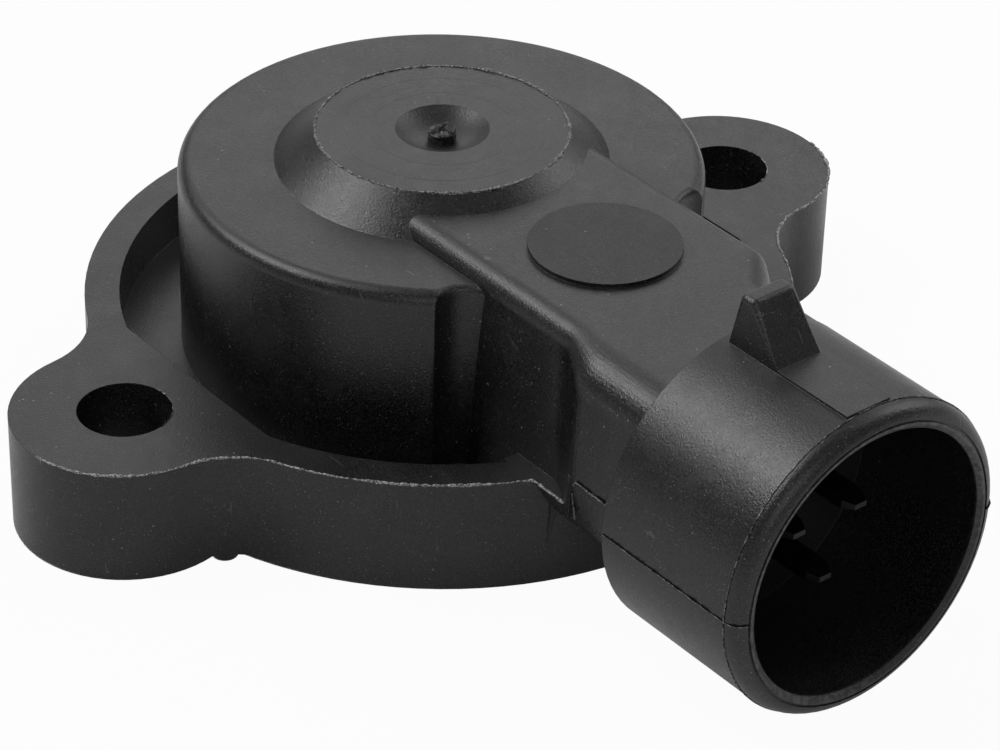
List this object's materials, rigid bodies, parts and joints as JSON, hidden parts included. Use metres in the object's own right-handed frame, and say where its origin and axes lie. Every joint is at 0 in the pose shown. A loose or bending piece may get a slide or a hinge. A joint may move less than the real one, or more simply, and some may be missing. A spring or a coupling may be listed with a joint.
{
  "type": "throttle position sensor",
  "caption": "Throttle position sensor with a round screw-on body, a round plug socket on a side neck, and an inner rotor that the throttle shaft turns against a film.",
  "frame": {"origin": "on the rotor's axis, in the plane of the face that meets the throttle body", "axes": "+Z points out of the cap along the rotor's axis, X runs through both screw holes, and the plug socket opens towards -Y"},
  "size_m": [0.0568, 0.058, 0.0214],
  "materials": {
    "black_plastic": "semi-gloss glass-filled black, moulded",
    "terminal": "tin plated strip, stamped",
    "film": "amber film with printed dark tracks",
    "wedge": "natural plastic",
    "gasket": "soft, matt",
    "cover_plastic": "matt black, moulded",
    "rotor_seal": "red-brown silicone, satin",
    "vent": "white porous membrane",
    "mounting_seal": "black, satin",
    "rotor_plastic": "natural plastic, moulded",
    "wiper_alloy": "pale spring alloy, bright",
    "spring_steel": "spring steel"
  },
  "bodies": {
    "sensor": {"housing": "black_plastic", "terminal_a": "terminal", "terminal_b": "terminal", "terminal_c": "terminal", "resistor_film": "film", "film_wedge": "wedge", "cover_gasket": "gasket", "rear_cover": "cover_plastic", "rotor_seal": "rotor_seal", "vent_filter": "vent", "mounting_seal": "mounting_seal"},
    "rotor": {"rotor": "rotor_plastic", "contactor": "wiper_alloy", "shaft_clip": "spring_steel"}
  },
  "joints": [
    {"name": "rotor_turn", "type": "hinge", "parent": "sensor", "child": "rotor", "pos_m": [0, 0, 0], "axis": [0, 0, 1], "range_deg": [0, 110]}
  ]
}
